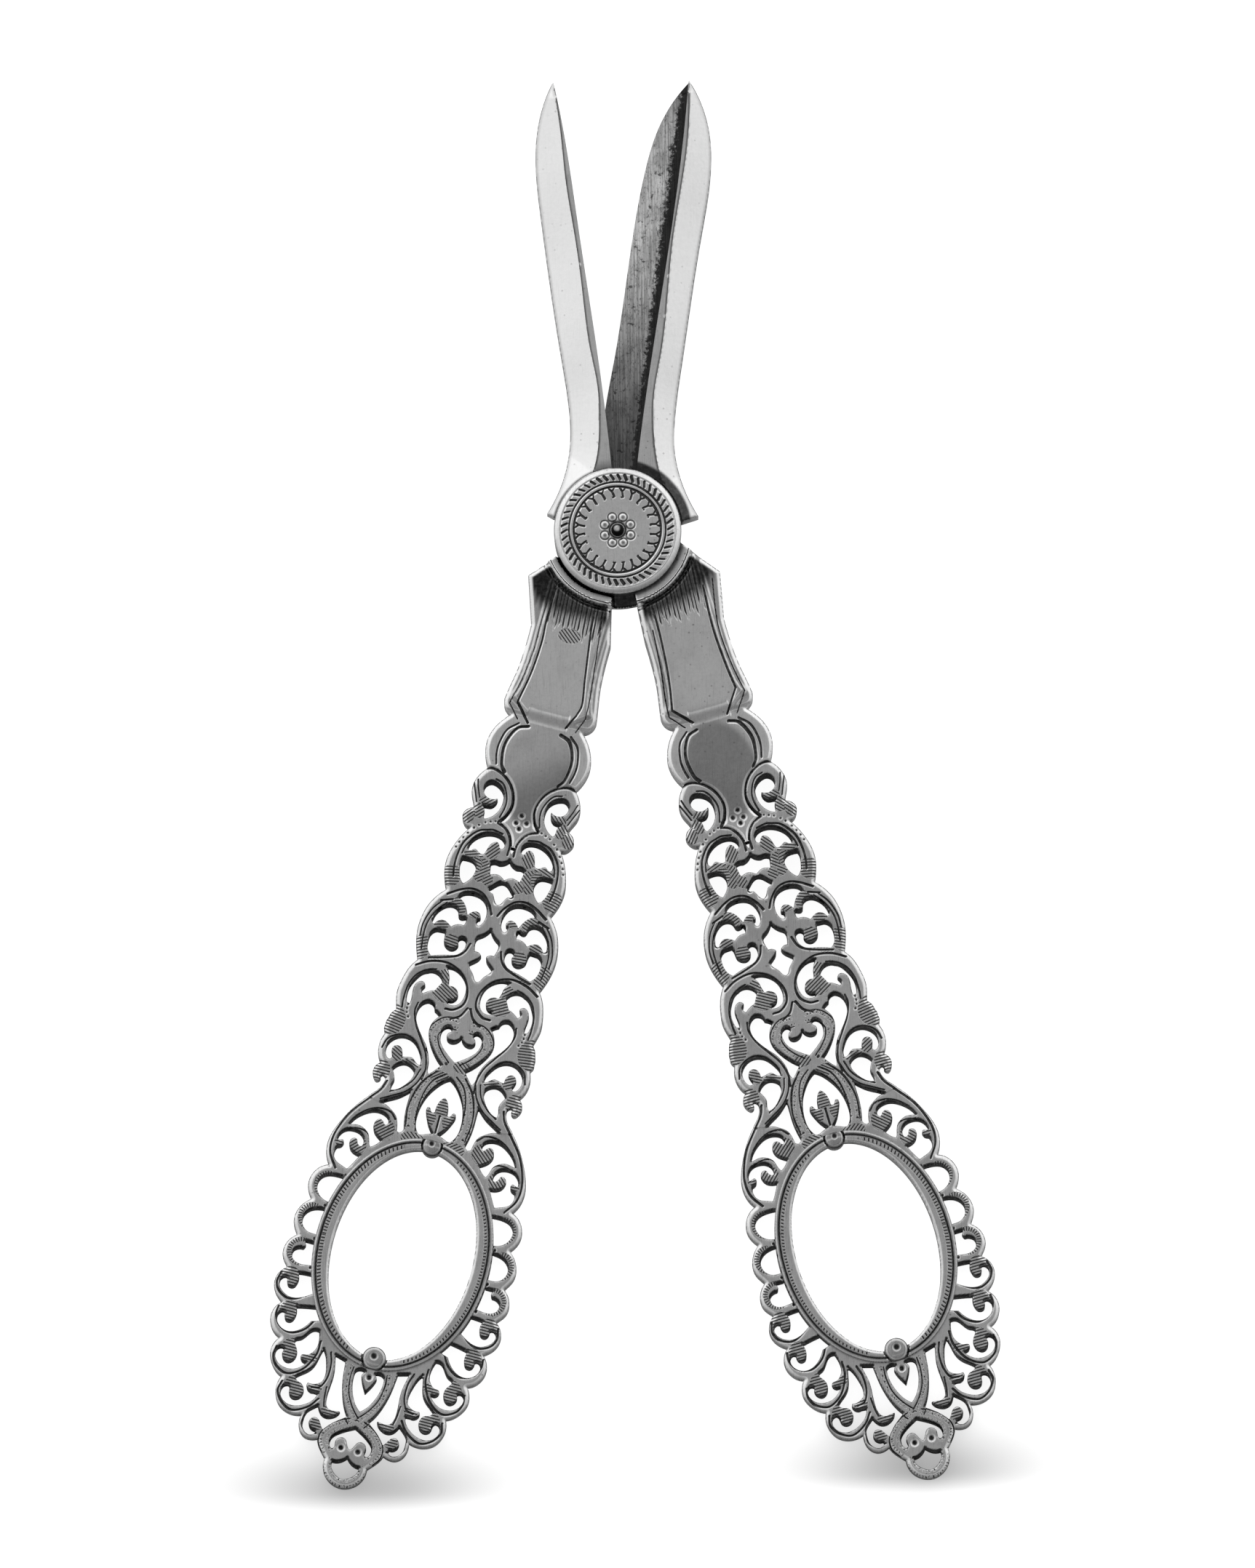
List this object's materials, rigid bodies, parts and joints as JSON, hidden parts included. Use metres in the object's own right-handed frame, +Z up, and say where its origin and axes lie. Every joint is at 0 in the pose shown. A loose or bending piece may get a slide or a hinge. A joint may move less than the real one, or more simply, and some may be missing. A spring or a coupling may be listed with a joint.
{
  "type": "grape shears",
  "caption": "Silver grape shears with pierced scroll handles, oval finger bows and a stem-holding blade, shown half open.",
  "frame": {"origin": "on the pivot's axis, in the plane that the shears rest on", "axes": "+Z up through the pivot, towards the rosette disc; +Y towards the blades' tips; +X to the right seen from above"},
  "size_m": [0.0917, 0.179, 0.0057],
  "materials": {
    "silver": "engraved silver, darkened in the recesses",
    "bright_silver": "polished silver with fine scratches",
    "blade_steel": "ground steel, darkened and pitted"
  },
  "bodies": {
    "rear_half": {"left_shank": "silver", "left_grip": "silver", "left_bow_ring": "silver", "left_bow_fringe": "silver", "right_blade_back": "bright_silver", "right_blade_plate": "blade_steel", "rear_cap": "silver", "pivot_pin": "silver"},
    "front_half": {"right_shank": "silver", "right_grip": "silver", "right_bow_ring": "silver", "right_bow_fringe": "silver", "left_blade_back": "bright_silver", "left_blade_edge": "blade_steel", "rosette_disc": "silver"}
  },
  "joints": [
    {"name": "pivot", "type": "hinge", "parent": "rear_half", "child": "front_half", "pos_m": [0, 0, 0], "axis": [0, 0, 1], "range_deg": [-16.3, 17]}
  ]
}
